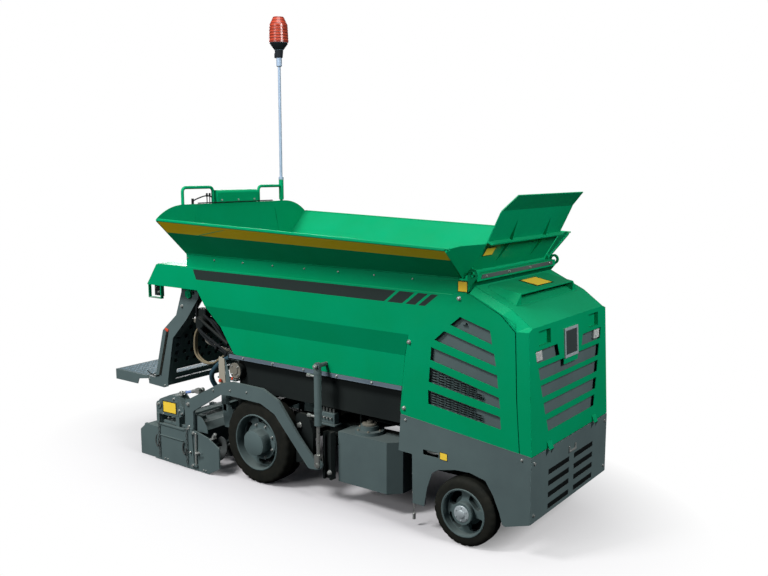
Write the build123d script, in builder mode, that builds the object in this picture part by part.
from build123d import *
import os
from math import atan2, cos, degrees, radians, sin

os.makedirs("parts", exist_ok=True)

# Compact wheeled asphalt paver.  Millimetres.  +X forward (engine end), +Y left, +Z up, the
# ground at Z = 0 and the origin under the middle of the machine.  Right-hand pieces lie at -Y
# and are mirrored about the centre plane; two like pieces on one body share a node.

# ------------------------------------------------------------------ driving sizes
# Body sheets
body_half = 550           # outer faces of the body sheets
sheet = 5
hopper_low_half = body_half - 50      # hopper sides below the lower crease
flange_out = body_half - 20           # outer face of the wings' bolted flange
nose_x = 1960             # front face of the front skirt
skirt_rear_x = 1058
skirt_top_rear = 731
skirt_top_front = 633
seam = 6                  # gap round the tilting hood
hood_hinge_x = nose_x + 10
hood_hinge_z = skirt_top_front
hood_hinge_y = 328
hood_ear_r = 8
hood_pin_r = 4

# Running gear
rear_axle_x = -190
wheelbase = 1720
front_axle_x = rear_axle_x + wheelbase
wheel_face = body_half + 25           # outer face of every wheel from the centre plane
rear_wheel_r = 305
rear_tyre_w = 190
rear_rim_r = 205
front_wheel_r = 210
front_tyre_w = 125
front_rim_r = 150
kingpin_y = wheel_face - 150
kingpin_r = 16
track_arm = 130           # steering arm, kingpin to ball, behind the kingpin
rear_spindle_r = 40
front_spindle_r = 22
run = 0.1                 # radial running clearance of pins and spindles
seat = 0.3                # clearance of seated faces on moving pieces

# Hopper
trough_top = 896
trough_half = hopper_low_half - 50
trough_low = 635
trough_rear_x = -475
trough_front_x = 1035
crease_low = 1094
crease_high = 1241
ledge_z = crease_high + 274
deck_z = ledge_z + sheet
fold_z = ledge_z + 99     # top of the wings' bolted flange
wing_half = 800
wing_top_front = fold_z + 191
wing_top_rear = wing_top_front + 80
rear_wall_x = -925
rear_wall_top = wing_top_rear + 98
hopper_front_x = 1545
overhang_x = -1385

# Chassis
rail_in = 260
rail_out = 320
rail_low = 380
rail_high = 500
frame_rear_x = -760
frame_front_x = 1900
plate = 12

# Tow points and screed
tow_x = 412
tow_z = 275
arm_out = body_half + 50  # outer face of the tow arms
arm_t = 20
arm_mid = arm_out - arm_t / 2
tow_pin_r = 12
rod_r = 12.5
barrel_r = 25
screed_half = arm_out + 55
end_plate_t = 12
screed_rear_x = -1400
screed_front_x = -900
auger_x = -660
auger_z = 140
auger_r = 90
auger_half = screed_half - 95

# Platform and step
platform_z = 566
platform_half = 450
platform_flange = 86
step_hinge_x = -1560
step_hinge_z = platform_z - 12
step_rear_x = -(hood_hinge_x + hood_ear_r)
hanger_t = 80

# Front flap of the hopper
flap_half = flange_out - 48
flap_hinge_x = hopper_front_x - 41
flap_hinge_z = fold_z + 26
flap_pin_r = 9
flap_tube_r = 15


def skirt_top(x):
    """Height of the seam between the grey skirt and the green body at x."""
    fall = (skirt_top_rear - skirt_top_front) / (nose_x - skirt_rear_x)
    return skirt_top_rear - (x - skirt_rear_x) * fall


def side_plane(outer):
    """Plane parallel to the centre plane on the right, facing out, at |y| = outer."""
    return Plane.XZ.offset(outer)


# ------------------------------------------------------------------ chassis
with BuildPart() as chassis_frame:
    # two box rails
    with BuildSketch(Plane.XY.offset(rail_low)):
        with Locations(((frame_rear_x + frame_front_x) / 2, -(rail_in + rail_out) / 2)):
            Rectangle(frame_front_x - frame_rear_x, rail_out - rail_in)
    extrude(amount=rail_high - rail_low)
    # outrigger and guide plate of the levelling gear, ahead of the rear wheel
    guide_x0 = rear_axle_x + rear_wheel_r + 10
    guide_x1 = guide_x0 + 160
    guide_in = body_half - 80
    guide_low = 203
    guide_high = platform_z
    with BuildSketch(side_plane(guide_in)):
        with BuildLine():
            Polyline(
                (guide_x0, guide_low), (guide_x1, guide_low + 50), (guide_x1, guide_high - 126),
                (guide_x1 - 30, guide_high - 36), (guide_x1 - 60, guide_high), (guide_x0 + 40, guide_high),
            )
            ThreePointArc(
                (guide_x0 + 40, guide_high), (guide_x0 + 12, guide_high - 12), (guide_x0, guide_high - 40)
            )
            Line((guide_x0, guide_high - 40), (guide_x0, guide_low))
        make_face()
    extrude(amount=30)
    # upright guide channel in front of the levelling rod
    channel_x = tow_x + 48
    channel_out = body_half + 10
    channel_low = 172
    with BuildSketch(Plane.XY.offset(channel_low)):
        with Locations((channel_x, -channel_out + 25)):
            Rectangle(70, 50)
        with Locations((channel_x, -channel_out + 12)):
            Rectangle(40, 26, mode=Mode.SUBTRACT)
    extrude(amount=rail_high - channel_low)
    # arms that carry both: x, width, outer end
    for arm_x, arm_w, arm_end in ((guide_x0 + 80, 150, guide_in), (channel_x, 60, channel_out - 50)):
        with BuildSketch(Plane.XY.offset(rail_low + 20)):
            with Locations((arm_x, -(rail_out + arm_end) / 2)):
                Rectangle(arm_w, arm_end - rail_out)
        extrude(amount=60)
    # outriggers that carry the side skirts
    for outrigger_x in (1165, 1860):
        with BuildSketch(Plane.YZ.offset(outrigger_x)):
            with BuildLine():
                Polyline(
                    (-rail_out, rail_low), (-rail_out, rail_high + 90),
                    (-body_half + sheet, rail_high + 90), (-body_half + sheet, rail_high - 20),
                    (-rail_out, rail_low),
                )
            make_face()
        extrude(amount=plate)
    # saddles under the conveyor trough
    for saddle_x in (-430, 330, 560, 960):
        with Locations((saddle_x, -(rail_in + rail_out) / 2, (rail_high + trough_low) / 2)):
            Box(plate, rail_out - rail_in, trough_low - rail_high)
    # plates that hold the rear axle
    with BuildSketch(side_plane(rail_in + 10)):
        with BuildLine():
            Polyline(
                (rear_axle_x - 90, rail_low + 5), (rear_axle_x + 90, rail_low + 5),
                (rear_axle_x + 45, 265), (rear_axle_x - 45, 265),
                (rear_axle_x - 90, rail_low + 5),
            )
        make_face()
        with Locations((rear_axle_x, rear_wheel_r)):
            Rectangle(80, 80, mode=Mode.SUBTRACT)
    extrude(amount=20)
    mirror(about=Plane.XZ)
    # cross members: x, width, low, high
    for cross_x, cross_w, cross_low, cross_high in (
        (frame_rear_x + 30, 60, rail_low, rail_high),
        (-430, 60, rail_low + 20, rail_high - 20),
        (guide_x0 + 80, 80, rail_low + 20, rail_high - 20),
        (channel_x, 60, rail_low + 20, rail_high - 20),
        (1165, 60, rail_low + 20, rail_high - 20),
        (front_axle_x, 80, rail_low, rail_high - 40),
        (frame_front_x - 30, 60, rail_low, rail_high),
    ):
        with Locations((cross_x, 0, (cross_low + cross_high) / 2)):
            Box(cross_w, 2 * rail_in + 2, cross_high - cross_low)
    # cheeks and pin of the front axle's pivot
    for cheek_x in (front_axle_x - 48, front_axle_x + 48 - plate):
        with Locations((cheek_x + plate / 2, 0, (170 + rail_low) / 2 + 5)):
            Box(plate, 100, rail_low - 170 + 10)
    with BuildSketch(Plane.YZ.offset(front_axle_x - 48)):
        with Locations((0, front_wheel_r)):
            Circle(18)
    extrude(amount=96)
    # nose plates that the front skirt bolts to
    for nose_y in (-400, 400):
        with Locations((nose_x - sheet - 30, nose_y, rail_low + 60)):
            Box(60, 80, 40)
        with Locations((frame_front_x - 30, nose_y, rail_low + 60)):
            Box(60, 170, 40)
    # dark shield behind the slots of the front skirt
    with Locations((nose_x - sheet - 50, 0, (235 + skirt_top_front - 35) / 2)):
        Box(4, 880, skirt_top_front - 35 - 235)
    # auger hanger
    with BuildSketch(Plane.XZ.offset(-22)):
        with BuildLine():
            Polyline(
                (frame_rear_x + 10, rail_low + 5), (auger_x - 40, auger_z),
                (auger_x + 40, auger_z), (auger_x + 60, rail_low + 5),
                (frame_rear_x + 10, rail_low + 5),
            )
        make_face()
        with Locations((auger_x, auger_z)):
            Circle(42)
    extrude(amount=44)
    with Locations((auger_x + 20, 0, rail_low + 40)):
        Box(120, 44, 80)
    with BuildSketch(side_plane(-30)):
        with Locations((auger_x, auger_z)):
            Circle(16 + run)
    extrude(amount=60, mode=Mode.SUBTRACT)
chassis_frame.part.label = "chassis_frame"
export_step(chassis_frame.part, "parts/chassis_frame.step")

# Diesel engine, a plain block over the front axle
with BuildPart() as engine_block:
    with Locations((front_axle_x - 40, 0, rail_high + 290)):
        Box(520, 420, 580)
    chamfer(engine_block.edges().filter_by(Axis.X).group_by(Axis.Z)[-1], 70)
    # feet on the chassis rails
    with Locations((front_axle_x - 40, 0, rail_high + 30)):
        Box(300, 2 * rail_out, 60)
engine_block.part.label = "engine_block"
export_step(engine_block.part, "parts/engine_block.step")

# ------------------------------------------------------------------ conveyor and hopper
with BuildPart() as conveyor_trough:
    with BuildSketch(Plane.YZ.offset(trough_rear_x)):
        with BuildLine():
            Polyline(
                (-hopper_low_half, trough_top), (-hopper_low_half, trough_top - 32),
                (-hopper_low_half + sheet, trough_top - 32), (-hopper_low_half + sheet, trough_top - sheet),
                (-trough_half, trough_top - sheet), (-trough_half, trough_low), (trough_half, trough_low),
                (trough_half, trough_top - sheet), (hopper_low_half - sheet, trough_top - sheet),
                (hopper_low_half - sheet, trough_top - 32), (hopper_low_half, trough_top - 32),
                (hopper_low_half, trough_top), (trough_half - sheet, trough_top),
                (trough_half - sheet, trough_low + sheet), (-trough_half + sheet, trough_low + sheet),
                (-trough_half + sheet, trough_top), (-hopper_low_half, trough_top),
            )
        make_face()
    extrude(amount=trough_front_x - trough_rear_x)
    # housings of the drive shaft at its rear end
    with BuildSketch(side_plane(trough_half)):
        with Locations((trough_rear_x + 10, (trough_top + trough_low) / 2 + 12)):
            Circle(63)
    housing = extrude(amount=hopper_low_half - trough_half)
    mirror(housing, about=Plane.XZ)
conveyor_trough.part.label = "conveyor_trough"
export_step(conveyor_trough.part, "parts/conveyor_trough.step")

# Hopper side: one folded sheet, trimmed to its outline in side view
with BuildPart() as hopper_sides:
    with BuildSketch(Plane.YZ.offset(overhang_x)):
        with BuildLine():
            Polyline(
                (-hopper_low_half, trough_top), (-hopper_low_half, crease_low),
                (-body_half, crease_high), (-body_half, ledge_z), (-body_half + 25, ledge_z),
                (-body_half + 25, fold_z - 12), (-body_half + 30, fold_z - 12),
                (-body_half + 30, ledge_z - sheet), (-body_half + sheet, ledge_z - sheet),
                (-body_half + sheet, crease_high - 1), (-hopper_low_half + sheet, crease_low - 1),
                (-hopper_low_half + sheet, trough_top), (-hopper_low_half, trough_top),
            )
        make_face()
    extrude(amount=hopper_front_x - overhang_x)
    with BuildSketch(side_plane(body_half + 1)):
        with BuildLine():
            Polyline(
                (trough_rear_x, trough_top), (-617, crease_low), (-718, crease_high), (-800, 1350),
                (overhang_x, 1350), (overhang_x + 121, ledge_z), (rear_wall_x, ledge_z),
                (rear_wall_x, fold_z), (hopper_front_x - 10, fold_z), (hopper_front_x - 10, 1546),
                (hopper_front_x - 18, 1538), (1440, 1522), (1119, 1286), (1114, crease_high), (1054, crease_low),
                (trough_front_x, trough_top), (trough_rear_x, trough_top),
            )
        make_face()
    extrude(amount=-(body_half + 1), mode=Mode.INTERSECT)
    # open bracket under the overhang
    bracket_x0, bracket_x1 = overhang_x + 8, overhang_x + 160
    bracket_low = 1246
    with BuildSketch(side_plane(body_half - 29)):
        with BuildLine():
            Polyline(
                (bracket_x0, 1362), (bracket_x0, bracket_low), (bracket_x1, bracket_low), (bracket_x1, 1362),
                (bracket_x1 - 8, 1362), (bracket_x1 - 8, bracket_low + 8), (bracket_x0 + 8, bracket_low + 8),
                (bracket_x0 + 8, 1362), (bracket_x0, 1362),
            )
        make_face()
    extrude(amount=25)
    mirror(about=Plane.XZ)
hopper_sides.part.label = "hopper_sides"
export_step(hopper_sides.part, "parts/hopper_sides.step")

# Gusset between the wing's front edge and the flap: its plane leans with the flap's foot
gusset_in = flap_half + 10
gusset_top = wing_top_front + 15
gusset_run = Vector(-67, -290, 0)
gusset_rise = Vector(112, 0, 180)
gusset_plane = Plane(
    origin=(flap_hinge_x - 4, -gusset_in, flap_hinge_z), x_dir=gusset_run, z_dir=gusset_rise.cross(gusset_run)
)


def on_gusset(y, z):
    """Point of the gusset's plane at |y| and z, in the plane's own coordinates."""
    rise = z - flap_hinge_z
    out = y - gusset_in
    x = flap_hinge_x - 4 + rise * gusset_rise.X / gusset_rise.Z + out * gusset_run.X / -gusset_run.Y
    local = gusset_plane.to_local_coords(Vector(x, -y, z))
    return local.X, local.Y


# Hopper wing: flared sheet trimmed at the gusset, its top edge falling towards the front
with BuildPart() as hopper_wings:
    for wing_x, wing_z in ((rear_wall_x, wing_top_rear), (hopper_front_x + 60, wing_top_front)):
        with BuildSketch(Plane.YZ.offset(wing_x)):
            with BuildLine():
                Polyline(
                    (-flange_out, fold_z - 2), (-wing_half, wing_z - 10), (-wing_half, wing_z),
                    (-wing_half + 8, wing_z), (-flange_out + sheet, fold_z + 3),
                    (-flange_out + sheet, fold_z - 2), (-flange_out, fold_z - 2),
                )
            make_face()
    loft(ruled=True)
    split(bisect_by=gusset_plane.offset(-1.6), keep=Keep.BOTTOM)
    # bolted flange along its foot
    with BuildSketch(Plane.YZ.offset(rear_wall_x)):
        with Locations((-flange_out + sheet / 2, (ledge_z + fold_z) / 2)):
            Rectangle(sheet, fold_z - ledge_z)
    extrude(amount=flap_hinge_x - 45 - rear_wall_x)
    mirror(about=Plane.XZ)
hopper_wings.part.label = "hopper_wings"
export_step(hopper_wings.part, "parts/hopper_wings.step")

# Rear wall: slope up from the conveyor, then upright with rounded shoulders
shoulder_y = wing_half - 260
with BuildPart() as hopper_rear_wall:
    with BuildSketch(side_plane(hopper_low_half - sheet)):
        with BuildLine():
            Polyline(
                (trough_rear_x, trough_top), (rear_wall_x + 8, deck_z - 12), (rear_wall_x + 8, deck_z + 30),
                (rear_wall_x + 8 - sheet, deck_z + 30), (rear_wall_x + 8 - sheet, deck_z - 14),
                (trough_rear_x - 6, trough_top), (trough_rear_x, trough_top),
            )
        make_face()
    extrude(amount=-2 * (hopper_low_half - sheet))
    with BuildSketch(Plane.YZ.offset(rear_wall_x - sheet)):
        with BuildLine():
            Line((-shoulder_y, rear_wall_top), (shoulder_y, rear_wall_top))
            TangentArc((shoulder_y, rear_wall_top), (wing_half, wing_top_rear), tangent=(1, 0))
            Polyline(
                (wing_half, wing_top_rear), (wing_half, wing_top_rear - 14), (flange_out, fold_z - 2),
                (flange_out, ledge_z), (-flange_out, ledge_z), (-flange_out, fold_z - 2),
                (-wing_half, wing_top_rear - 14), (-wing_half, wing_top_rear),
            )
            TangentArc((-shoulder_y, rear_wall_top), (-wing_half, wing_top_rear), tangent=(-1, 0))
        make_face()
    extrude(amount=sheet)
    with Locations((rear_wall_x + 4, 0, deck_z + 20)):
        Box(18, 2 * (hopper_low_half - sheet), 20)
hopper_rear_wall.part.label = "hopper_rear_wall"
export_step(hopper_rear_wall.part, "parts/hopper_rear_wall.step")

# Rear deck and control housing between the overhanging side sheets
with BuildPart() as rear_deck:
    with BuildSketch(Plane.XY.offset(ledge_z)):
        with Locations(((rear_wall_x - sheet + overhang_x + 125) / 2, 0)):
            Rectangle(rear_wall_x - sheet - overhang_x - 125, 2 * (body_half - 10))
    extrude(amount=sheet)
    with BuildSketch(side_plane(body_half - 31)):
        with BuildLine():
            Polyline(
                (overhang_x + 132, ledge_z), (overhang_x + 125, ledge_z), (overhang_x + 6, 1352),
                (overhang_x + 13, 1352), (overhang_x + 132, ledge_z),
            )
        make_face()
    extrude(amount=-2 * (body_half - 31))
rear_deck.part.label = "rear_deck"
export_step(rear_deck.part, "parts/rear_deck.step")

# Front wall: slope down to the conveyor, sill, gussets beside the flap, and the flap's hinge pin
sill_half = flange_out - 11
sill_top = flap_hinge_z
with BuildPart() as hopper_front_wall:
    slope = Vector(hopper_front_x - trough_front_x, 0, fold_z - 14 - trough_top)
    slope_plane = Plane(
        origin=(trough_front_x, 0, trough_top), x_dir=(0, -1, 0), z_dir=(-slope.Z, 0, slope.X)
    )
    rise = slope.length / slope.Z
    low_rise = (crease_low - trough_top) * rise
    high_rise = (crease_high - trough_top) * rise
    ledge_rise = (ledge_z - 8 - trough_top) * rise
    with BuildSketch(slope_plane):
        with BuildLine():
            Polyline(
                (-hopper_low_half + sheet, 0), (-hopper_low_half + sheet, low_rise),
                (-body_half + sheet + 1, high_rise), (-body_half + sheet + 1, ledge_rise),
                (-sill_half, ledge_rise), (-sill_half, slope.length), (sill_half, slope.length),
                (sill_half, ledge_rise), (body_half - sheet - 1, ledge_rise),
                (body_half - sheet - 1, high_rise), (hopper_low_half - sheet, low_rise),
                (hopper_low_half - sheet, 0), (-hopper_low_half + sheet, 0),
            )
        make_face()
    extrude(amount=-sheet)
    # folded sill under the flap
    flange_rear = flap_hinge_x + flap_tube_r + 5
    lip_x = hopper_front_x + 28
    with BuildSketch(side_plane(sill_half)):
        with BuildLine():
            Polyline(
                (hopper_front_x, fold_z - 18), (hopper_front_x + 6, fold_z - 18),
                (hopper_front_x + 6, sill_top - 6), (lip_x - 6, sill_top - 6), (lip_x - 6, sill_top - 40),
                (lip_x, sill_top - 40), (lip_x, sill_top), (flange_rear, sill_top),
                (flange_rear, sill_top - 6), (hopper_front_x, sill_top - 6), (hopper_front_x, fold_z - 18),
            )
        make_face()
    extrude(amount=-2 * sill_half)
    # hinge pin of the flap, held in two lugs on the sill
    with BuildSketch(side_plane(sill_half)):
        with Locations((flap_hinge_x, flap_hinge_z)):
            Circle(flap_pin_r)
    extrude(amount=-2 * sill_half)
    for lug_y in (-gusset_in - 6, gusset_in + 6):
        with BuildSketch(side_plane(-lug_y - 6)):
            with BuildLine():
                Polyline(
                    (flap_hinge_x - 12, sill_top - 10), (flange_rear + 6, sill_top - 6), (flange_rear + 14, sill_top),
                    (flap_hinge_x + 24, sill_top + 36), (flap_hinge_x + 8, sill_top + 36),
                    (flap_hinge_x - 12, sill_top + 4), (flap_hinge_x - 12, sill_top - 10),
                )
            make_face()
        extrude(amount=12)
    # gussets, with a folded edge along the wing: |y|, z
    gusset_rows = (
        (gusset_in, sill_top + 12), (gusset_in, gusset_top), (wing_half - 100, gusset_top),
        (wing_half - 4, wing_top_front), (wing_half - 4, wing_top_front - 12), (flange_out + 6, fold_z + 6),
        (sill_half - 9, fold_z + 6), (sill_half - 9, sill_top + 12),
    )
    band_rows = (
        (wing_half - 24, wing_top_front), (wing_half - 4, wing_top_front), (wing_half - 4, wing_top_front - 12),
        (flange_out + 6, fold_z + 6), (flange_out - 16, fold_z + 6),
    )
    for rows, thick in ((gusset_rows, sheet), (band_rows, 16)):
        with BuildSketch(gusset_plane):
            with BuildLine():
                Polyline(*[on_gusset(y, z) for y, z in rows], on_gusset(*rows[0]))
            make_face()
        corner = extrude(amount=thick)
        mirror(corner, about=Plane.XZ)
hopper_front_wall.part.label = "hopper_front_wall"
export_step(hopper_front_wall.part, "parts/hopper_front_wall.step")

# ------------------------------------------------------------------ side sheets of the engine bay
# Hood seam on the side sheet, from the top rear corner down to the skirt: x, z
hood_seam = ((1539, 1529), (1755, 1424), (1845, 1337), (1861, 955), (1887, skirt_top(1887)))
# Louvre slots in the side sheet, corner by corner: x, z
side_slots = (
    ((1413, 1334), (1480, 1389), (1680, 1329), (1695, 1250)),
    ((1302, 1231), (1371, 1293), (1709, 1199), (1723, 1126)),
    ((1274, 1105), (1281, 1185), (1731, 1077), (1739, 999)),
    ((1265, 967), (1271, 1061), (1746, 948), (1754, 884)),
    ((1262, 830), (1261, 917), (1755, 837), (1763, 762)),
)
with BuildPart() as side_panels:
    with BuildSketch(side_plane(body_half - sheet)):
        with BuildLine():
            Polyline(
                (1062, skirt_top(1062) + 3), (1119, 1286), (1440, 1522), (hopper_front_x - 12, 1530),
                *[(x - seam, z - 2) for x, z in hood_seam[1:4]],
                (1887 - seam, skirt_top(1887 - seam) + 3), (1062, skirt_top(1062) + 3),
            )
        make_face()
        for slot in side_slots:
            with BuildLine():
                Polyline(*slot, slot[0])
            make_face(mode=Mode.SUBTRACT)
    extrude(amount=sheet)
    # return face behind the rear edge, slanting in to the lower hopper side
    edge = Vector(57, 0, 1283 - 735)
    inward = Vector(-45, 50, 0)
    with BuildSketch(Plane(origin=(1062, -body_half, 735), x_dir=edge, z_dir=edge.cross(inward))):
        with BuildLine():
            Polyline((0, 0), (0, 56), (350, 56), (480, 6), (500, 0), (0, 0))
        make_face()
    extrude(amount=-4)
    mirror(about=Plane.XZ)
side_panels.part.label = "side_panels"
export_step(side_panels.part, "parts/side_panels.step")

# Grey inserts behind the louvre slots
with BuildPart() as louvre_inserts:
    with BuildSketch(side_plane(body_half - sheet - 22)):
        with BuildLine():
            Polyline(
                (1225, 745), (1225, 1130), (1290, 1225), (1440, 1420), (1735, 1350), (1785, 745),
                (1225, 745),
            )
        make_face()
    extrude(amount=4)
    for bar_z in (760, 1350):
        with Locations((1500, -(body_half - sheet - 9), bar_z)):
            Box(30, 18, 10)
    mirror(about=Plane.XZ)
louvre_inserts.part.label = "louvre_inserts"
export_step(louvre_inserts.part, "parts/louvre_inserts.step")

# ------------------------------------------------------------------ grey skirts
# Underside of the side skirt from the nose back to the rear leg: x from the front axle, z
skirt_underside = (
    (272, 187), (253, 195), (232, 263), (190, 357), (135, 436), (33, 460), (-71, 456), (-191, 429),
    (-235, 401), (-271, 296), (-292, 173), (-378, 173), (-384, 490),
)
with BuildPart() as side_skirts:
    with BuildSketch(side_plane(body_half - sheet)):
        with BuildLine():
            Polyline(
                (skirt_rear_x - 15, 495), (skirt_rear_x, skirt_top_rear), (nose_x - sheet, skirt_top(nose_x)),
                (nose_x - sheet, 235), *[(front_axle_x + x, z) for x, z in skirt_underside],
                (skirt_rear_x - 15, 495),
            )
        make_face()
        with BuildLine():
            Polyline((1228, 504), (1228, 537), (1341, 537), (1341, 504), (1228, 504))
        make_face(mode=Mode.SUBTRACT)
    extrude(amount=sheet)
    mirror(about=Plane.XZ)
side_skirts.part.label = "side_skirts"
export_step(side_skirts.part, "parts/side_skirts.step")

with BuildPart() as front_skirt:
    with BuildSketch(Plane.YZ.offset(nose_x - sheet)):
        with BuildLine():
            Polyline(
                (-body_half, 237), (-body_half, skirt_top_front - 2), (body_half, skirt_top_front - 2),
                (body_half, 237), (-body_half, 237),
            )
        make_face()
        # two columns of cooling slots: row height
        for slot_z in (275, 345, 415, 485):
            for slot_y in (-180, 180):
                with Locations((slot_y, slot_z)):
                    Rectangle(290, 34, mode=Mode.SUBTRACT)
    extrude(amount=sheet)
    # ears of the hood hinges and their pins
    for ear_y in (-hood_hinge_y, hood_hinge_y):
        for ear_side in (-34, 34):
            with BuildSketch(side_plane(-(ear_y + ear_side) - 4)):
                with Locations((hood_hinge_x, hood_hinge_z)):
                    Circle(hood_ear_r)
                with BuildLine():
                    Polyline(
                        (nose_x - 2, 590), (hood_hinge_x + hood_ear_r, hood_hinge_z - 2),
                        (hood_hinge_x, hood_hinge_z + 4), (nose_x + 2, hood_hinge_z - 2),
                        (nose_x - 2, hood_hinge_z - 2), (nose_x - 2, 590),
                    )
                make_face()
            extrude(amount=8)
        with BuildSketch(side_plane(-ear_y - 38)):
            with Locations((hood_hinge_x, hood_hinge_z)):
                Circle(hood_pin_r)
        extrude(amount=76)
front_skirt.part.label = "front_skirt"
export_step(front_skirt.part, "parts/front_skirt.step")

# ------------------------------------------------------------------ tilting hood
hood_t = 4
hood_flat = 500           # half width of the hood between its bevelled edges
front_top_z = 1360
front_lean = 38           # the front face leans back by this much at its top
hood_low = skirt_top_front + 4
# Side view of the hood, x and z on the flat middle, x and z on the side face
hood_outline = (
    ((1887, skirt_top(1887) + 4), (1887, skirt_top(1887) + 4)),
    ((nose_x, hood_low), (nose_x, hood_low)),
    ((nose_x - front_lean, front_top_z), (nose_x - front_lean + 2, 1345)),
    ((1905, 1373), (1849, 1342)),
    ((1790, 1457), (1759, 1429)),
    ((1550, 1571), (1541, 1533)),
    ((1539, 1529), (1539, 1529)),
    ((1755, 1424), (1755, 1424)),
    ((1845, 1337), (1845, 1337)),
    ((1861, 955), (1861, 955)),
)
# The same for the hollow behind the sheet, which runs out past the seam
hood_hollow = (
    ((1840, 560), (1840, 560)),
    ((nose_x - hood_t + 4, 560), (nose_x - hood_t + 4, 560)),
    ((nose_x - front_lean - hood_t, 1355), (nose_x - front_lean - 2, 1340)),
    ((1902, 1368), (1848, 1338)),
    ((1788, 1452), (1757, 1424.5)),
    ((1500, 1589), (1500, 1549)),
    ((1480, 1500), (1480, 1500)),
    ((1700, 1380), (1700, 1380)),
    ((1800, 1300), (1800, 1300)),
    ((1820, 955), (1820, 955)),
)
front_slots = (           # |y| of the outer end at the top, low z, high z
    (440, 1050, 1125),
    (415, 948, 1020),
    (385, 841, 912),
    (352, 735, 805),
)
badge_half = 95
badge_z = 1210


def hood_block(outline, edge_y):
    """The hood's form, or its hollow, as a flat middle and two bevelled ends."""
    with BuildPart(mode=Mode.PRIVATE) as block:
        with BuildSketch(side_plane(hood_flat)):
            with BuildLine():
                Polyline(*[row[0] for row in outline], outline[0][0])
            make_face()
        extrude(amount=-2 * hood_flat)
        for column, y in ((0, hood_flat), (1, edge_y)):
            with BuildSketch(side_plane(y)):
                with BuildLine():
                    Polyline(*[row[column] for row in outline], outline[0][column])
                make_face()
        end = loft(ruled=True)
        mirror(end, about=Plane.XZ)
    return block.part


with BuildPart() as hood_shell:
    add(hood_block(hood_outline, body_half))
    add(hood_block(hood_hollow, body_half - hood_t), mode=Mode.SUBTRACT)
    # cooling slots through the front face, their ends drawing in towards the bottom
    with BuildSketch(Plane.YZ.offset(nose_x - 120)):
        for top_y, low, high in front_slots:
            low_y = top_y - 0.27 * (high - low)
            with BuildLine():
                Polyline((-top_y, high), (top_y, high), (low_y, low), (-low_y, low), (-top_y, high))
            make_face()
        # the badge's mount dips into the uppermost slot
        with Locations((0, front_slots[0][2])):
            Rectangle(2 * badge_half + 10, 80, mode=Mode.SUBTRACT)
        for hand in (-1, 1):
            with BuildLine():
                Polyline(
                    (hand * 185, 1225), (hand * 472, 1225), (hand * 455, 1155), (hand * 160, 1155),
                    (hand * 185, 1225),
                )
            make_face()
        with Locations((0, badge_z)):
            Rectangle(2 * badge_half - 20, 160)
    extrude(amount=140, mode=Mode.SUBTRACT)
    # air scoop on the top, its mouth open to the front: x, z of its side view
    scoop_half = 362
    scoop_body = ((1562, 1562), (1566, 1566), (1775, 1528), (1775, 1462), (1562, 1562))
    scoop_foot = ((1588, 1551), (1588, 1554), (1775, 1466), (1775, 1462), (1588, 1551))
    with BuildSketch(side_plane(scoop_half)):
        with BuildLine():
            Polyline(*scoop_body)
        make_face()
    extrude(amount=-2 * scoop_half)
    for section, y in ((scoop_body, scoop_half), (scoop_foot, scoop_half + 58)):
        with BuildSketch(side_plane(y)):
            with BuildLine():
                Polyline(*section)
            make_face()
    scoop_end = loft(ruled=True)
    mirror(scoop_end, about=Plane.XZ)
    with BuildSketch(side_plane(scoop_half - 6)):
        with BuildLine():
            Polyline((1690, 1507), (1690, 1536), (1780, 1521), (1780, 1464), (1690, 1507))
        make_face()
    extrude(amount=-2 * (scoop_half - 6), mode=Mode.SUBTRACT)
    # grip recesses high on the front face
    for grip_y in (-349, 349):
        grip_face = Plane(origin=(nose_x - front_lean + 4, grip_y, 1290), x_dir=(0, 1, 0), z_dir=(1, 0, 0.05))
        with BuildSketch(grip_face.offset(-30)):
            Rectangle(160, 94)
        extrude(amount=29)
        with BuildSketch(grip_face.offset(-26)):
            Rectangle(152, 86)
        extrude(amount=50, mode=Mode.SUBTRACT)
    # hinge leaves
    for leaf_y in (-hood_hinge_y, hood_hinge_y):
        with BuildSketch(side_plane(-leaf_y - 28)):
            with Locations((hood_hinge_x, hood_hinge_z)):
                Circle(hood_ear_r)
            with BuildLine():
                Polyline(
                    (hood_hinge_x - 2, hood_hinge_z + 7), (hood_hinge_x + 8, hood_hinge_z),
                    (nose_x + 1, hood_hinge_z + 45), (nose_x - 4, hood_hinge_z + 45),
                    (hood_hinge_x - 8, hood_hinge_z + 6), (hood_hinge_x - 2, hood_hinge_z + 7),
                )
            make_face()
            with Locations((hood_hinge_x, hood_hinge_z)):
                Circle(hood_pin_r + run, mode=Mode.SUBTRACT)
        extrude(amount=56)
hood_shell.part.label = "hood_shell"
export_step(hood_shell.part, "parts/hood_shell.step")

with BuildPart() as hood_grille:
    lean = front_lean / (front_top_z - skirt_top_front)
    grille_gap = 24
    with BuildSketch(side_plane(465)):
        with BuildLine():
            low_x = nose_x - grille_gap - (715 - skirt_top_front) * lean
            high_x = nose_x - grille_gap - (1240 - skirt_top_front) * lean
            Polyline(
                (low_x, 715), (high_x, 1240), (high_x - hood_t, 1240), (low_x - hood_t, 715), (low_x, 715),
            )
        make_face()
    extrude(amount=-930)
    # distance strips along the top and bottom edge
    for strip_z in (722, 1235):
        strip_x = nose_x - (strip_z - skirt_top_front) * lean
        with Locations((strip_x - grille_gap - 2, 0, strip_z)):
            Box(grille_gap - hood_t + 2 - 2 * seat, 600, 8, align=(Align.MIN, Align.CENTER, Align.CENTER))
hood_grille.part.label = "hood_grille"
export_step(hood_grille.part, "parts/hood_grille.step")

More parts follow.
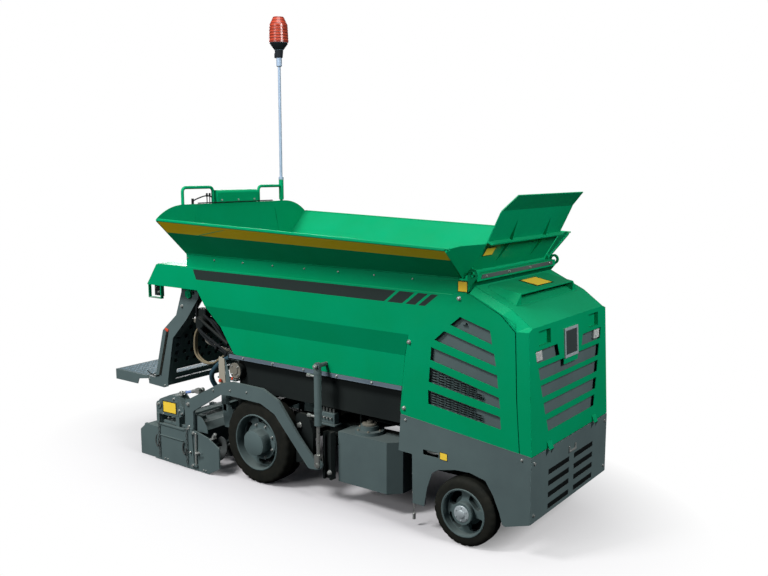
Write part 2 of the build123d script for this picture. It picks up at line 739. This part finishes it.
with BuildPart() as hood_lamps:
    lamp_x = nose_x - (1190 - skirt_top_front) * lean
    lamp_back = Plane(origin=(lamp_x - grille_gap + seat, 0, 1190), x_dir=(0, 1, 0), z_dir=(1, 0, lean))
    with BuildSketch(lamp_back):
        with BuildLine():
            Polyline((-458, 27), (-385, 27), (-375, -27), (-447, -27), (-458, 27))
        make_face()
    extrude(amount=grille_gap - 6)
    mirror(about=Plane.XZ)
hood_lamps.part.label = "hood_lamps"
export_step(hood_lamps.part, "parts/hood_lamps.step")

with BuildPart() as badge_plate:
    badge_x = nose_x - (badge_z - skirt_top_front) * lean
    with Locations(Location((badge_x + 4.4, 0, badge_z), (0, -degrees(atan2(lean, 1)), 0))):
        Box(8, 2 * badge_half, 180)
        Box(4, 2 * badge_half - 30, 150, align=(Align.MIN, Align.CENTER, Align.CENTER), mode=Mode.SUBTRACT)
badge_plate.part.label = "badge_plate"
export_step(badge_plate.part, "parts/badge_plate.step")

# ------------------------------------------------------------------ front flap and lifting eyes
# Front face of the flap from its foot to its tip: lean from upright, length
flap_folds = ((32.3, 209), (25.7, 199), (44, 121))
flap_face = [Vector(flap_hinge_x + 3, 0, flap_hinge_z + 12)]
for lean_deg, length in flap_folds:
    flap_face.append(flap_face[-1] + Vector(sin(radians(lean_deg)), 0, cos(radians(lean_deg))) * length)
flap_foot, flap_knee, flap_bend, flap_tip = [(point.X, point.Z) for point in flap_face]
with BuildPart() as apron_flap:
    with BuildSketch(side_plane(flap_half)):
        with BuildLine():
            Polyline(
                flap_foot, flap_knee, flap_bend, flap_tip, (flap_tip[0] - 4, flap_tip[1] + 4),
                (flap_bend[0] - 5, flap_bend[1] + 3), (flap_knee[0] - 5, flap_knee[1] + 3),
                (flap_foot[0] - 5, flap_foot[1] + 3), flap_foot,
            )
        make_face()
    extrude(amount=-2 * flap_half)
    # outline seen from the front: the tip draws in
    with BuildSketch(Plane.YZ.offset(flap_tip[0] + 60)):
        with BuildLine():
            Polyline(
                (-flap_half, flap_hinge_z - 20), (-flap_half, flap_bend[1] - 10),
                (-flap_half + 40, flap_tip[1] + 12), (flap_half - 40, flap_tip[1] + 12),
                (flap_half, flap_bend[1] - 10), (flap_half, flap_hinge_z - 20), (-flap_half, flap_hinge_z - 20),
            )
        make_face()
    extrude(amount=-500, mode=Mode.INTERSECT)
    # hinge tube along the foot
    with BuildSketch(side_plane(flap_half - 22)):
        with Locations((flap_hinge_x, flap_hinge_z)):
            Circle(flap_tube_r)
            Circle(flap_pin_r + run, mode=Mode.SUBTRACT)
    extrude(amount=-2 * (flap_half - 22))
    # tapered ribs up the front, and a bar across at the knee
    for rib_y in (-225, 225):
        with BuildSketch(side_plane(-rib_y - 4)):
            with BuildLine():
                Polyline(
                    (flap_foot[0] + 18, flap_foot[1] + 31), (flap_knee[0] + 20, flap_knee[1] - 10),
                    (flap_bend[0] - 24, flap_bend[1] - 46), (flap_knee[0] - 2, flap_knee[1]),
                    (flap_foot[0] + 18, flap_foot[1] + 31),
                )
            make_face()
        extrude(amount=8)
    with BuildSketch(side_plane(flap_half + 4)):
        with BuildLine():
            Polyline(
                (flap_knee[0] - 2, flap_knee[1] - 4), (flap_knee[0] + 28, flap_knee[1] - 18),
                (flap_knee[0] + 31, flap_knee[1] - 11), (flap_knee[0] + 1, flap_knee[1] + 4),
                (flap_knee[0] - 2, flap_knee[1] - 4),
            )
        make_face()
    extrude(amount=-2 * (flap_half + 4))
apron_flap.part.label = "apron_flap"
export_step(apron_flap.part, "parts/apron_flap.step")

# Lifting eyes in the hopper's front corners
eye_x = hopper_front_x + 11
eye_z = fold_z + 26
eye_r = 34
eye_hole_r = 18
eye_t = 12
with BuildPart() as lifting_eyes:
    with BuildSketch(side_plane(flange_out)):
        with BuildLine():
            Polyline(
                (hopper_front_x - 253, ledge_z), (hopper_front_x - 215, fold_z - 24),
                (eye_x - eye_r - 1, fold_z - 10), (eye_x - eye_r + 1, eye_z),
                (eye_x + eye_r - 2, eye_z - 10), (hopper_front_x - 10, fold_z - 48),
                (hopper_front_x - 18, fold_z - 74), (hopper_front_x - 40, ledge_z), (hopper_front_x - 253, ledge_z),
            )
        make_face()
        with Locations((eye_x, eye_z)):
            Circle(eye_r)
            Circle(eye_hole_r, mode=Mode.SUBTRACT)
    extrude(amount=eye_t)
    mirror(about=Plane.XZ)
lifting_eyes.part.label = "lifting_eyes"
export_step(lifting_eyes.part, "parts/lifting_eyes.step")


# ------------------------------------------------------------------ tanks beside the rails
tank_low = 155
tank_in = rail_out + seat
tank_top = rail_high + 1
with BuildPart() as side_tanks:
    with BuildSketch(Plane.XY.offset(tank_low)):
        with BuildLine():
            Polyline((510, -500), (913, -500), (990, -425), (990, -tank_in), (510, -tank_in), (510, -500))
        make_face()
    extrude(amount=tank_top - tank_low)
    with BuildSketch(Plane.XY.offset(tank_top)):
        with Locations((690, -385)):
            Circle(100)
    extrude(amount=22)
    with BuildSketch(Plane.XY.offset(tank_top + 22)):
        with Locations((690, -385)):
            Circle(62)
    extrude(amount=30)
    # the tank on the left
    with BuildSketch(Plane.XY.offset(tank_low)):
        with BuildLine():
            Polyline((510, 500), (913, 500), (990, 425), (990, tank_in), (510, tank_in), (510, 500))
        make_face()
    extrude(amount=tank_top - tank_low)
    with BuildSketch(Plane.XY.offset(tank_top)):
        with Locations((620, 410)):
            Circle(38)
    extrude(amount=40)
side_tanks.part.label = "side_tanks"
export_step(side_tanks.part, "parts/side_tanks.step")


# ------------------------------------------------------------------ rear wall fittings
bar_x = rear_wall_x - sheet - 20
bar_r = 12
bar_low = 1860
bar_top = 2106
pole_y = 530              # the beacon pole stands on the left-hand handle's outer leg
with BuildPart() as handles:
    for leg_y, other_y in ((-532, -235), (260, pole_y)):
        with BuildLine(Plane.YZ.offset(bar_x)):
            FilletPolyline(
                (leg_y, bar_low), (leg_y, bar_top), (other_y, bar_top), (other_y, bar_low), radius=32
            )
        with BuildSketch(Plane(origin=(bar_x, leg_y, bar_low), x_dir=(1, 0, 0), z_dir=(0, 0, 1))):
            RegularPolygon(bar_r, 12)
        sweep()
        for foot_y in (leg_y, other_y):
            with Locations((bar_x + 10, foot_y, bar_low + 60)):
                Box(20, 30, 80)
    # socket of the beacon pole
    pole_low = bar_top + 49
    with BuildSketch(Plane.XY.offset(1990)):
        with Locations((bar_x, pole_y)):
            Circle(20)
    extrude(amount=pole_low - 1990)
handles.part.label = "handles"
export_step(handles.part, "parts/handles.step")

# Shallow curved guard over the controls on top of the rear wall
console_top = rear_wall_top + 100
console_half = 218
with BuildPart() as console:
    with BuildSketch(side_plane(console_half)):
        with BuildLine():
            Polyline(
                (rear_wall_x - 40, console_top - 12), (rear_wall_x - 60, console_top - 50),
                (rear_wall_x - 60, rear_wall_top - 60), (rear_wall_x - sheet, rear_wall_top - 60),
                (rear_wall_x - sheet, rear_wall_top + 1), (rear_wall_x + 10, rear_wall_top + 4),
                (rear_wall_x + 10, console_top - 22),
            )
            ThreePointArc(
                (rear_wall_x + 10, console_top - 22), (rear_wall_x - 12, console_top),
                (rear_wall_x - 40, console_top - 12),
            )
        make_face()
    extrude(amount=-2 * console_half)
console.part.label = "console"
export_step(console.part, "parts/console.step")

pole_r = 12
beacon_r = 80
beacon_top = 3480
lens_h = 205
cup_low = beacon_top - lens_h - 60
with BuildPart() as beacon_mast:
    with BuildSketch(Plane.XY.offset(pole_low)):
        with Locations((bar_x, pole_y)):
            Circle(pole_r)
    extrude(amount=cup_low - pole_low)
    with BuildSketch(Plane.XY.offset(cup_low - 130)):
        with Locations((bar_x, pole_y)):
            Circle(20)
    extrude(amount=130)
    for cup_z, cup_r in ((cup_low, 34), (cup_low + 60, beacon_r - 4)):
        with BuildSketch(Plane.XY.offset(cup_z)):
            with Locations((bar_x, pole_y)):
                Circle(cup_r)
    loft()
beacon_mast.part.label = "beacon_mast"
export_step(beacon_mast.part, "parts/beacon_mast.step")

with BuildPart() as beacon_lens:
    with BuildSketch(Plane(origin=(bar_x, pole_y, beacon_top - lens_h), x_dir=(1, 0, 0), z_dir=(0, -1, 0))):
        with BuildLine():
            Polyline(
                (0, 0), (beacon_r, 0), (beacon_r * 0.92, lens_h * 0.7), (beacon_r * 0.55, lens_h),
                (0, lens_h), (0, 0),
            )
        make_face()
    revolve(axis=Axis((bar_x, pole_y, 0), (0, 0, 1)))
beacon_lens.part.label = "beacon_lens"
export_step(beacon_lens.part, "parts/beacon_lens.step")

# ------------------------------------------------------------------ operator's platform
hanger_in = platform_half - hanger_t
hole_r = 19
hole_pitch = 78
hole_rise = 66
panel_low = 650
panel_high = 1090
panel_lean = 0.2186       # run of the perforated panel per unit of rise
panel_t = 6
knee_z = 1111
panel_origin = Vector(-1222, 0, 920)
panel_plane = Plane(origin=panel_origin, x_dir=(0, 1, 0), z_dir=(1, 0, -panel_lean))
deck_front_x = -1300
deck_rear_x = step_hinge_x + 20


def panel_x(z):
    """Front face of the perforated panel at height z."""
    return panel_origin.X + (z - panel_origin.Z) * panel_lean


with BuildPart() as rear_platform:
    # upper strap, from the pivot under the overhang down to the knee
    with BuildSketch(side_plane(hanger_in + 20)):
        with BuildLine():
            Polyline(
                (-1080, ledge_z), (-960, ledge_z), (-900, 1350), (-905, 1270), (-1055, 1084),
                (-1172, knee_z), (-1100, 1300), (-1080, ledge_z),
            )
        make_face()
        with Locations((-960, 1300)):
            Circle(14, mode=Mode.SUBTRACT)
    extrude(amount=hanger_t - 20)
    # lower box, leaning back to the deck
    with BuildSketch(side_plane(hanger_in)):
        with BuildLine():
            Polyline(
                (-1055, 1084), (-1172, knee_z), (-1340, 972), (-1456, platform_z - 2),
                (panel_x(platform_z - 2), platform_z - 2), (panel_x(panel_origin.Z), panel_origin.Z),
                (-1120, 1020), (-1055, 1084),
            )
        make_face()
    extrude(amount=hanger_t)
    mirror(about=Plane.XZ)
    # perforated panel between the boxes, in line with their front faces
    stretch = (1 + panel_lean * panel_lean) ** 0.5
    with BuildSketch(panel_plane):
        panel_rise = (panel_high - panel_low) * stretch
        with Locations((0, ((panel_high + panel_low) / 2 - panel_origin.Z) * stretch)):
            Rectangle(2 * hanger_in + 4, panel_rise)
        for row in range(-3, 3):
            for column in range(-4, 5):
                shift = 0.5 if row % 2 else 0
                if abs(column + shift) * hole_pitch < hanger_in - hole_r - 8:
                    with Locations(((column + shift) * hole_pitch, row * hole_rise * stretch)):
                        RegularPolygon(hole_r, 10, mode=Mode.SUBTRACT)
    extrude(amount=-panel_t)
    # the same holes go on over the front faces of the boxes
    with BuildSketch(panel_plane):
        for row in range(-3, 1):
            shift = 0.5 if row % 2 else 0
            for column in (-5, 5) if row % 2 == 0 else (-5.5, 4.5):
                with Locations(((column + shift) * hole_pitch, row * hole_rise * stretch)):
                    RegularPolygon(hole_r, 10)
    extrude(amount=-40, mode=Mode.SUBTRACT)
    # deck plate, open ahead of its front bar, on two side plates
    with Locations(((-1450 + deck_rear_x) / 2, 0, platform_z - 3)):
        Box(-1450 - deck_rear_x, 2 * platform_half, 6)
    for bar_x0, bar_w in ((-1480, 30), (deck_front_x - 30, 30)):
        with Locations((bar_x0 + bar_w / 2, 0, platform_z - 22)):
            Box(bar_w, 2 * platform_half, 40)
    for plate_y in (platform_half, -platform_half + 6):
        with BuildSketch(side_plane(plate_y)):
            with BuildLine():
                Polyline(
                    (deck_rear_x, platform_z), (deck_rear_x, platform_z - 60), (deck_front_x - 50, platform_z - 66),
                    (deck_front_x, platform_z - 50), (deck_front_x, platform_z), (deck_rear_x, platform_z),
                )
            make_face()
        extrude(amount=-6)
    # hinge pin of the step, in two lugs
    for lug_y in (-432, 432):
        with BuildSketch(side_plane(-lug_y - 4)):
            with BuildLine():
                Polyline(
                    (deck_rear_x + 4, platform_z - 3), (step_hinge_x, step_hinge_z + 4),
                    (step_hinge_x, step_hinge_z - 10), (deck_rear_x + 4, platform_z - 50),
                    (deck_rear_x + 4, platform_z - 3),
                )
            make_face()
            with Locations((step_hinge_x, step_hinge_z)):
                Circle(10)
        extrude(amount=8)
    with BuildSketch(side_plane(platform_half)):
        with Locations((step_hinge_x, step_hinge_z)):
            Circle(6)
    extrude(amount=-2 * platform_half)
rear_platform.part.label = "rear_platform"
export_step(rear_platform.part, "parts/rear_platform.step")


with BuildPart() as rear_step:
    with BuildSketch(Plane.XY.offset(platform_z - 6)):
        with Locations(((step_rear_x + step_hinge_x - 8) / 2, 0)):
            Rectangle(step_hinge_x - 8 - step_rear_x, 2 * platform_half)
    extrude(amount=6)
    for side_y in (-platform_half, platform_half - 6):
        with BuildSketch(side_plane(-side_y - 6)):
            with BuildLine():
                Polyline(
                    (step_rear_x, platform_z - 3), (step_rear_x, platform_z - platform_flange),
                    (step_hinge_x - 130, platform_z - platform_flange), (step_hinge_x - 110, platform_z - 40),
                    (step_hinge_x, step_hinge_z - 10), (step_hinge_x, step_hinge_z + 10),
                    (step_hinge_x - 8, platform_z - 3), (step_rear_x, platform_z - 3),
                )
            make_face()
            with Locations((step_hinge_x, step_hinge_z)):
                Circle(10)
                Circle(6 + run, mode=Mode.SUBTRACT)
        extrude(amount=6)
    with Locations((step_rear_x + 3, 0, platform_z - platform_flange / 2)):
        Box(6, 2 * platform_half, platform_flange)
rear_step.part.label = "rear_step"
export_step(rear_step.part, "parts/rear_step.step")

# ------------------------------------------------------------------ front axle and steering
spindle_end = wheel_face - 25
ear_low, ear_high = 150, 270
ear_t = 14
with BuildPart() as front_axle:
    with Locations((front_axle_x, 0, front_wheel_r)):
        Box(70, 2 * (kingpin_y - 45), 60)
    with BuildSketch(Plane.YZ.offset(front_axle_x - 36)):
        with Locations((0, front_wheel_r)):
            Circle(18 + run)
    extrude(amount=72, mode=Mode.SUBTRACT)
    # upper and lower kingpin ears
    for hand in (-1, 1):
        with Locations((front_axle_x, hand * (kingpin_y - 50), (ear_low + ear_high) / 2)):
            Box(56, 14, ear_high - ear_low)
        for low in (ear_low, ear_high - ear_t):
            with BuildSketch(Plane.XY.offset(low)):
                with Locations((front_axle_x, hand * (kingpin_y - 28))):
                    Rectangle(48, 56)
                with Locations((front_axle_x, hand * kingpin_y)):
                    Circle(24)
                    Circle(kingpin_r + run, mode=Mode.SUBTRACT)
            extrude(amount=ear_t)
front_axle.part.label = "front_axle"
export_step(front_axle.part, "parts/front_axle.step")


def steering_knuckle(hand):
    """Kingpin, spindle and steering arm of one side: hand -1 right, 1 left."""
    ball_x = front_axle_x - track_arm
    ball_y = hand * kingpin_y
    with BuildPart() as knuckle:
        with BuildSketch(Plane.XY.offset(ear_low - 4)):
            with Locations((front_axle_x, hand * kingpin_y)):
                Circle(kingpin_r)
        extrude(amount=ear_high - ear_low + 8)
        with BuildSketch(Plane.XY.offset(ear_low + ear_t + seat)):
            with Locations((front_axle_x, hand * kingpin_y)):
                Circle(24)
        extrude(amount=ear_high - ear_low - 2 * (ear_t + seat))
        # spindle
        with BuildSketch(side_plane(-hand * kingpin_y)):
            with Locations((front_axle_x, front_wheel_r)):
                Circle(front_spindle_r)
        extrude(amount=-hand * (spindle_end - kingpin_y))
        # steering arm and its ball pin
        with BuildSketch(Plane.XY.offset(ear_low + ear_t + 6)):
            with BuildLine():
                Polyline(
                    (front_axle_x, hand * (kingpin_y - 22)), (ball_x, ball_y - hand * 14),
                    (ball_x, ball_y + hand * 14), (front_axle_x, hand * (kingpin_y + 22)),
                    (front_axle_x, hand * (kingpin_y - 22)),
                )
            make_face()
            with Locations((ball_x, ball_y)):
                Circle(14)
        extrude(amount=12)
        with BuildSketch(Plane.XY.offset(ear_low + ear_t + 18)):
            with Locations((ball_x, ball_y)):
                Circle(7)
        extrude(amount=24)
    return knuckle


knuckle_right = steering_knuckle(-1)
knuckle_right.part.label = "knuckle_right"
export_step(knuckle_right.part, "parts/knuckle_right.step")
knuckle_left = steering_knuckle(1)
knuckle_left.part.label = "knuckle_left"
export_step(knuckle_left.part, "parts/knuckle_left.step")

with BuildPart() as tie_rod:
    ball_x = front_axle_x - track_arm
    ball_y = kingpin_y
    rod_z = ear_low + ear_t + 18 + seat + 12
    with BuildSketch(side_plane(ball_y - 12)):
        with Locations((ball_x, rod_z)):
            Circle(9)
    extrude(amount=-2 * (ball_y - 12))
    for hand in (-1, 1):
        with BuildSketch(Plane.XY.offset(rod_z - 12)):
            with Locations((ball_x, hand * ball_y)):
                Circle(16)
        extrude(amount=24)
    for hand in (-1, 1):
        with BuildSketch(Plane.XY.offset(rod_z - 13)):
            with Locations((ball_x, hand * ball_y)):
                Circle(7 + run)
        extrude(amount=26, mode=Mode.SUBTRACT)
tie_rod.part.label = "tie_rod"
export_step(tie_rod.part, "parts/tie_rod.step")

# Rear axle: cross tube, hub motors and spindles
with BuildPart() as rear_axle:
    with Locations((rear_axle_x, 0, rear_wheel_r)):
        Box(80, 2 * 340, 80)
    with BuildSketch(side_plane(310)):
        with Locations((rear_axle_x, rear_wheel_r)):
            Circle(75)
    extrude(amount=100)
    with BuildSketch(side_plane(410)):
        with Locations((rear_axle_x, rear_wheel_r)):
            Circle(rear_spindle_r)
    extrude(amount=spindle_end - 410)
    mirror(about=Plane.XZ)
rear_axle.part.label = "rear_axle"
export_step(rear_axle.part, "parts/rear_axle.step")

# ------------------------------------------------------------------ wheels
# Ring profiles are drawn at the axle, y outward from the centre plane and height as radius


def ring_plane(x, z):
    """Plane through an axle: local x is -Y (outward on the right), local y is +Z."""
    return Plane(origin=(x, 0, z), x_dir=(0, -1, 0), z_dir=(-1, 0, 0))


def wheel_axis(x, z):
    return Axis((x, 0, z), (0, 1, 0))


def solid_tyre(x, radius, rim_r, width, bevel):
    """Solid rubber tyre; a wide one has a bevelled outer shoulder."""
    with BuildPart() as tyre:
        with BuildSketch(ring_plane(x, radius)):
            with BuildLine():
                inner = wheel_face - width
                shoulder = [(wheel_face - bevel, radius), (wheel_face, radius - bevel)]
                Polyline(
                    (inner, rim_r + seat), (inner, radius), *shoulder[:2 if bevel else 1],
                    (wheel_face, rim_r + seat), (inner, rim_r + seat),
                )
            make_face()
        revolve(axis=wheel_axis(x, radius))
    return tyre


def window_corners(x, z, low_r, high_r, middle_deg, sweep_deg):
    """Corners of a window with cut corners in the disc of a wheel centred at x, z."""
    corners = []
    for r, share in (
        (low_r + 12, 0.5), (high_r - 14, 0.5), (high_r, 0.36), (high_r + 2, 0), (high_r, -0.36),
        (high_r - 14, -0.5), (low_r + 12, -0.5), (low_r, -0.32), (low_r, 0.32), (low_r + 12, 0.5),
    ):
        turn = radians(middle_deg + share * sweep_deg)
        corners.append((x + r * cos(turn), z + r * sin(turn)))
    return corners


def spoked_rim(x, radius, rim_r, width, bore_r, dish, hub_r, hub_out, windows):
    """Dished rim: rolled edge, barrel, disc with windows, and a hub closed by its cap."""
    with BuildPart() as rim:
        with BuildSketch(ring_plane(x, radius)):
            with BuildLine():
                inner = wheel_face - width
                Polyline(
                    (inner, rim_r), (wheel_face + 2, rim_r), (wheel_face + 2, rim_r - 12),
                    (wheel_face - dish, rim_r - 16), (wheel_face - dish + 12, hub_r),
                    (wheel_face + hub_out, hub_r), (wheel_face + hub_out, 0), (spindle_end + seat, 0), (spindle_end + seat, bore_r),
                    (wheel_face - dish - 45, bore_r), (wheel_face - dish - 45, hub_r - 8),
                    (wheel_face - dish - 10, rim_r - 16), (inner, rim_r - 8), (inner, rim_r),
                )
            make_face()
        revolve(axis=wheel_axis(x, radius))
        with BuildSketch(side_plane(wheel_face + hub_out + 1)):
            for index in range(windows):
                spread = 360 / windows
                corners = window_corners(x, radius, hub_r + 8, rim_r - 20, spread * (index + 0.5), spread - 30)
                with BuildLine():
                    Polyline(*corners)
                make_face()
        extrude(amount=-(hub_out + dish + 30), mode=Mode.SUBTRACT)
    return rim


for hand, side_name in ((-1, "right"), (1, "left")):
    rear_tyre = solid_tyre(rear_axle_x, rear_wheel_r, rear_rim_r, rear_tyre_w, 16)
    rear_rim = spoked_rim(
        rear_axle_x, rear_wheel_r, rear_rim_r, rear_tyre_w, rear_spindle_r + run, 70, 95, 30, 3
    )
    front_tyre = solid_tyre(front_axle_x, front_wheel_r, front_rim_r, front_tyre_w, 0)
    front_rim = spoked_rim(
        front_axle_x, front_wheel_r, front_rim_r, front_tyre_w, front_spindle_r + run, 42, 66, 14, 4
    )
    for piece_name, piece in (
        ("rear_tyre", rear_tyre), ("rear_rim", rear_rim),
        ("front_tyre", front_tyre), ("front_rim", front_rim),
    ):
        wheel_part = piece.part if hand < 0 else mirror(piece.part, about=Plane.XZ)
        wheel_part.label = f"{piece_name}_{side_name}"
        export_step(wheel_part, f"parts/{piece_name}_{side_name}.step")

# ------------------------------------------------------------------ levelling gear
with BuildPart() as levelling_cylinders:
    with BuildSketch(Plane.XY.offset(547)):
        with Locations((tow_x, -arm_mid)):
            Circle(barrel_r)
            Circle(rod_r + 0.5, mode=Mode.SUBTRACT)
    extrude(amount=905 - 547)
    with BuildSketch(Plane.XY.offset(905)):
        with Locations((tow_x, -arm_mid)):
            Circle(barrel_r)
    extrude(amount=20)
    # upper eye and the pin that hangs it on the hopper side
    with BuildSketch(side_plane(arm_mid - 12)):
        with Locations((tow_x, 953)):
            Circle(24)
        with BuildLine():
            Polyline(
                (tow_x - 20, 915), (tow_x + 20, 915), (tow_x + 22, 953), (tow_x - 22, 953), (tow_x - 20, 915),
            )
        make_face()
    extrude(amount=24)
    with BuildSketch(side_plane(hopper_low_half)):
        with Locations((tow_x, 953)):
            Circle(14)
    extrude(amount=arm_mid + 18 - hopper_low_half)
    mirror(about=Plane.XZ)
levelling_cylinders.part.label = "levelling_cylinders"
export_step(levelling_cylinders.part, "parts/levelling_cylinders.step")

with BuildPart() as tow_points:
    with BuildSketch(Plane.XY.offset(330)):
        with Locations((tow_x, -arm_mid)):
            Circle(rod_r)
    extrude(amount=780 - 330)
    # clevis round the arm's eye, and its pin
    with Locations((tow_x, -arm_mid, 332)):
        Box(40, arm_t + 22, 24)
    for cheek_y in (arm_out + 7, arm_out - arm_t - 7):
        with BuildSketch(side_plane(cheek_y - 4)):
            with Locations((tow_x, tow_z)):
                Circle(22)
            with Locations((tow_x, (tow_z + 344) / 2)):
                Rectangle(40, 344 - tow_z)
        extrude(amount=8)
    with BuildSketch(side_plane(arm_out - arm_t - 15)):
        with Locations((tow_x, tow_z)):
            Circle(tow_pin_r)
    extrude(amount=arm_t + 30)
    mirror(about=Plane.XZ)
tow_points.part.label = "tow_points"
export_step(tow_points.part, "parts/tow_points.step")

# ------------------------------------------------------------------ screed
with BuildPart() as tow_arms:
    with BuildSketch(side_plane(arm_out - arm_t)):
        with BuildLine():
            FilletPolyline(
                (-925, 268), (-925, 498), (-861, 524), (-530, 690), (-400, 722), (-95, 719), (57, 658),
                (260, 420), (385, 300), (tow_x, tow_z + 20), radius=24,
            )
            Line((tow_x, tow_z + 20), (tow_x, tow_z - 34))
            FilletPolyline(
                (tow_x, tow_z - 34), (330, 232), (20, 555), (-115, 610), (-430, 615), (-527, 605),
                (-830, 429), (-838, 90), radius=24,
            )
            Polyline((-838, 90), (-900, 90), (-900, 268), (-925, 268))
        make_face()
        with Locations((tow_x, tow_z)):
            Circle(34)
            Circle(tow_pin_r + run, mode=Mode.SUBTRACT)
    extrude(amount=arm_t)
    mirror(about=Plane.XZ)
tow_arms.part.label = "tow_arms"
export_step(tow_arms.part, "parts/tow_arms.step")

with BuildPart() as screed_body:
    with BuildSketch(side_plane(screed_half - seat)):
        with BuildLine():
            Polyline(
                (screed_rear_x, 2), (screed_front_x, 2), (screed_front_x + 22, 30), (screed_front_x + 22, 80),
                (screed_front_x - seat, 90 - seat), (screed_front_x - seat, 215), (screed_front_x - 70, 255),
                (screed_rear_x + 70, 255), (screed_rear_x, 200), (screed_rear_x, 2),
            )
        make_face()
    extrude(amount=-2 * (screed_half - seat))
screed_body.part.label = "screed_body"
export_step(screed_body.part, "parts/screed_body.step")

with BuildPart() as end_plates:
    with BuildSketch(side_plane(screed_half)):
        with BuildLine():
            Polyline(
                (-1215, 4), (-1165, 22), (-1150, 290), (-858, 304), (-731, 306), (-595, 278), (-484, 218),
                (-484, 66), (-600, 4), (-1215, 4),
            )
        make_face()
    extrude(amount=end_plate_t)
    mirror(about=Plane.XZ)
end_plates.part.label = "end_plates"
export_step(end_plates.part, "parts/end_plates.step")

# Drive housings on the screed, on two feet
with BuildPart() as screed_drives:
    drive_in = 475
    with BuildSketch(side_plane(drive_in)):
        with BuildLine():
            FilletPolyline(
                (-1170, 333), (-1291, 333), (-1291, 410), (-1240, 456), (-1118, 505), (-1044, 505),
                (-946, 414), (-956, 368), (-1020, 338), (-1170, 333), radius=12,
            )
        make_face()
        for foot_x in (-1260, -1040):
            with Locations((foot_x, 300)):
                Rectangle(40, 90)
    extrude(amount=105)
    mirror(about=Plane.XZ)
screed_drives.part.label = "screed_drives"
export_step(screed_drives.part, "parts/screed_drives.step")

with BuildPart() as auger:
    shaft_r = 16
    with BuildSketch(side_plane(auger_half)):
        with Locations((auger_x, auger_z)):
            Circle(shaft_r)
    extrude(amount=-2 * auger_half)
    pitch = 150
    flight_t = 7
    tilt = degrees(atan2(pitch / 2, 2 * auger_r)) * 0.8
    for step in range(6):
        for hand in (-1, 1):
            y = hand * (70 + step * pitch / 2)
            turn = tilt if step % 2 else -tilt
            with BuildSketch(
                Plane(origin=(auger_x, y, auger_z), x_dir=(1, 0, 0), z_dir=(0, -1, 0)).rotated((0, turn, 0))
            ):
                RegularPolygon(auger_r - 4, 24)
            extrude(amount=flight_t / 2, both=True)
auger.part.label = "auger"
export_step(auger.part, "parts/auger.step")
